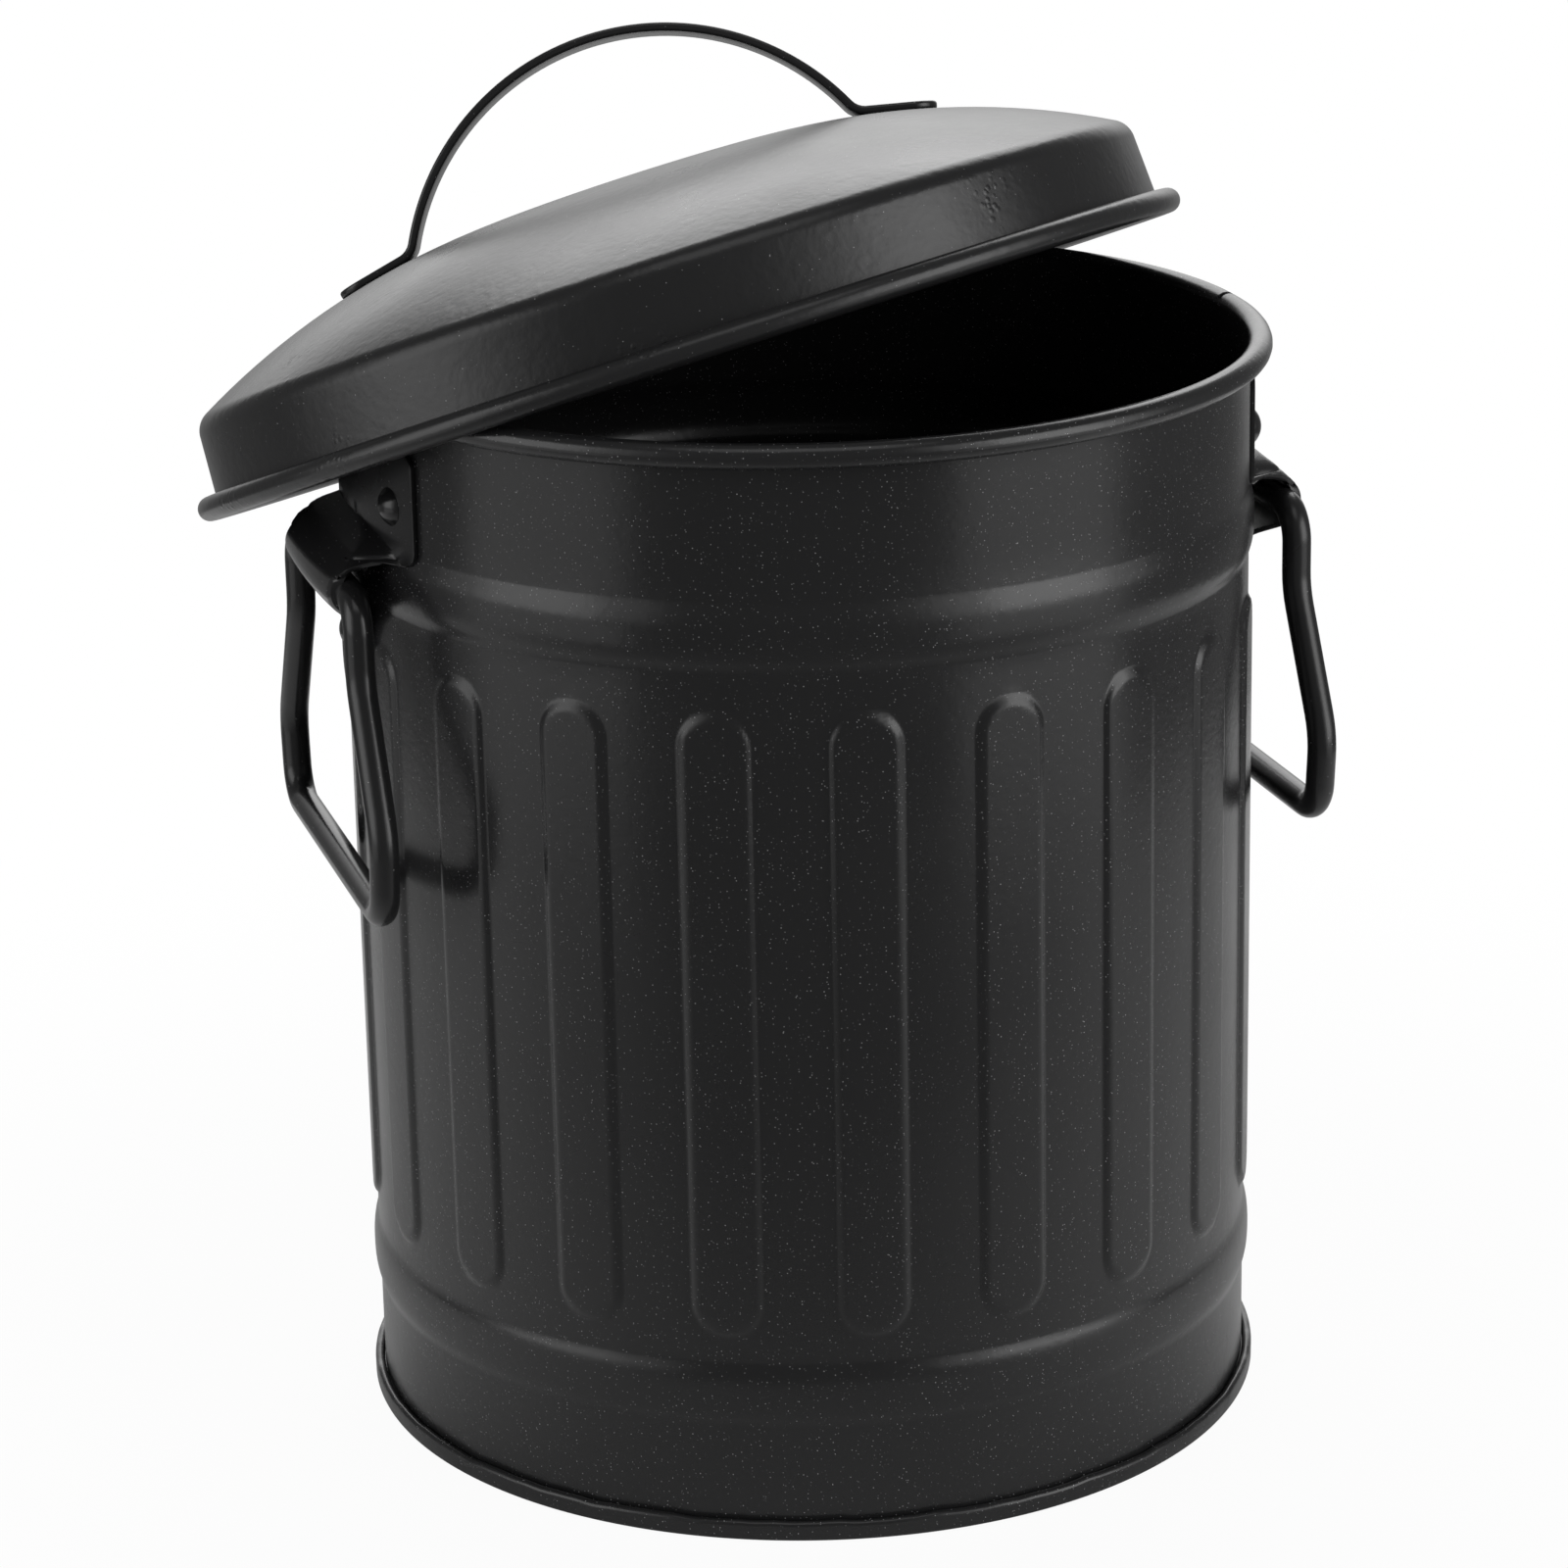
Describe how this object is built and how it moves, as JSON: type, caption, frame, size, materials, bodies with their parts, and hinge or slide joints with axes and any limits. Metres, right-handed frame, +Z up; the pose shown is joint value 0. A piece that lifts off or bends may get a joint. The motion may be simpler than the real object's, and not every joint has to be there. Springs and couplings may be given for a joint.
{
  "type": "desktop trash can",
  "caption": "Small black-painted steel desktop trash can with ribbed straight wall, rolled rim, drop wire handles at the sides and a loose domed lid with a strap handle, ajar on the rim.",
  "frame": {"origin": "centre of the base ring on the surface that the can stands on", "axes": "+Z up the can's axis, +X towards the right-hand handle, -Y towards the front"},
  "size_m": [0.1496, 0.1493, 0.1904],
  "materials": {
    "can_paint": "satin",
    "bracket_paint": "satin",
    "rivet_paint": "satin",
    "handle_paint": "satin",
    "lid_paint": "satin",
    "strap_paint": "satin"
  },
  "bodies": {
    "can": {"can_wall": "can_paint", "base_pan": "can_paint", "bracket_left": "bracket_paint", "bracket_right": "bracket_paint", "rivet_left_front": "rivet_paint", "rivet_left_back": "rivet_paint", "rivet_left_lower": "rivet_paint", "rivet_right_front": "rivet_paint", "rivet_right_back": "rivet_paint", "rivet_right_lower": "rivet_paint"},
    "lid": {"lid_shell": "lid_paint", "lid_strap": "strap_paint"},
    "handle_left": {"handle_left": "handle_paint"},
    "handle_right": {"handle_right": "handle_paint"}
  },
  "joints": [
    {"name": "lid_lift", "type": "slide", "parent": "can", "child": "lid", "axis": [0, 0, 1], "range_m": [0, 0.08]},
    {"name": "handle_left_swing", "type": "hinge", "parent": "can", "child": "handle_left", "pos_m": [-0.0661, 0, 0.124], "axis": [0, 1, 0], "range_deg": [-1.5, 84]},
    {"name": "handle_right_swing", "type": "hinge", "parent": "can", "child": "handle_right", "pos_m": [0.0661, 0, 0.124], "axis": [0, -1, 0], "range_deg": [-1.5, 178]}
  ]
}
